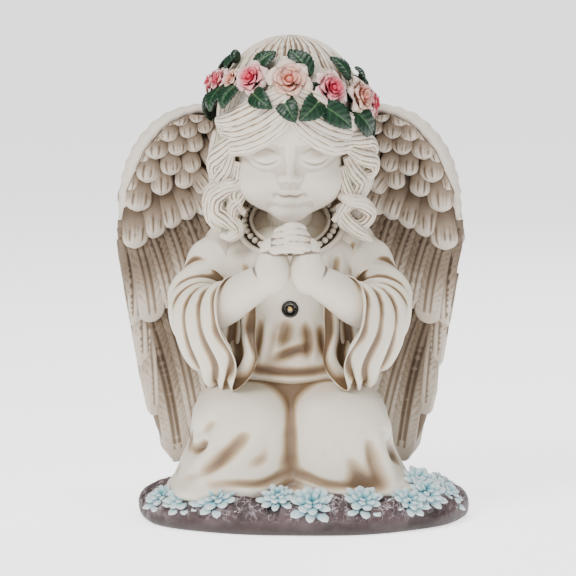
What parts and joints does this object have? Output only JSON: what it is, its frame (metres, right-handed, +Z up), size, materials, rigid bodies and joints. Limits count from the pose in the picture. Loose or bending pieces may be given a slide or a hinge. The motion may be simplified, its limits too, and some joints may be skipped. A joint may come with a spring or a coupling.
{
  "type": "kneeling angel figurine",
  "caption": "Kneeling, praying angel garden figurine in cast resin with wings, a rose wreath, succulents on a rock base and a small solar-charged chest lamp.",
  "frame": {"origin": "on the surface the figurine stands on, at the middle of its overall width and depth", "axes": "+Z up, -Y the way the figure faces, +X towards the figure's left hand"},
  "size_m": [0.1754, 0.124, 0.2405],
  "materials": {
    "resin_robe": "ivory painted cast resin with a brown wash in the folds, satin",
    "resin_skin": "pale painted cast resin, satin",
    "resin_hair": "ivory painted cast resin with a brown wash between the strands, satin",
    "resin_wing": "taupe painted cast resin with pale feather tips, satin",
    "rock": "purple-brown painted cast resin, dry-brushed with white, matt",
    "rose_pink": "deep pink paint with pale petal edges, satin",
    "rose_pale": "pale peach paint, satin",
    "leaf_green": "dark green paint with pale veins, satin",
    "succulent_blue": "pale aqua paint with near-white tips, satin",
    "black_plastic": "black moulded plastic",
    "lamp_resin": "clear epoxy over a yellow phosphor",
    "steel": "zinc-plated steel",
    "board_green": "green solder mask",
    "cell_sleeve": "shrunk plastic sleeve",
    "solar_glass": "dark cells under clear glass",
    "lead_jacket": "red and black wire insulation"
  },
  "bodies": {
    "statue": {"base_cover": "black_plastic", "base_shell": "rock", "battery_cell": "cell_sleeve", "battery_tray": "black_plastic", "circuit_board": "board_green", "collar_band": "resin_robe", "cover_screw_1": "steel", "cover_screw_2": "steel", "cover_screw_3": "steel", "cover_screw_4": "steel", "hair": "resin_hair", "head": "resin_skin", "led_bezel": "black_plastic", "led_lamp": "lamp_resin", "led_lead": "lead_jacket", "left_hand": "resin_skin", "left_sleeve": "resin_robe", "left_wing": "resin_wing", "left_wing_pin": "steel", "right_hand": "resin_skin", "right_sleeve": "resin_robe", "right_wing": "resin_wing", "right_wing_pin": "steel", "robe_skirt": "resin_robe", "robe_torso": "resin_robe", "rose_01": "rose_pink", "rose_02": "rose_pink", "rose_03": "rose_pale", "rose_04": "rose_pink", "rose_05": "rose_pale", "rose_06": "rose_pink", "rose_07": "rose_pale", "rose_08": "rose_pink", "rose_09": "rose_pale", "rose_10": "rose_pink", "rose_11": "rose_pale", "rose_12": "rose_pink", "rose_13": "rose_pale", "rose_14": "rose_pink", "solar_frame": "black_plastic", "solar_glass": "solar_glass", "solar_lead": "lead_jacket", "succulent_1": "succulent_blue", "succulent_2": "succulent_blue", "succulent_3": "succulent_blue", "succulent_4": "succulent_blue", "succulent_5": "succulent_blue", "succulent_6": "succulent_blue", "succulent_7": "succulent_blue", "succulent_8": "succulent_blue", "switch_body": "steel", "wreath_vine": "leaf_green"},
    "switch_knob": {"switch_slider": "black_plastic"}
  },
  "joints": [
    {"name": "switch_slide", "type": "slide", "parent": "statue", "child": "switch_knob", "axis": [1, 0, 0], "range_m": [0, 0.002]}
  ]
}
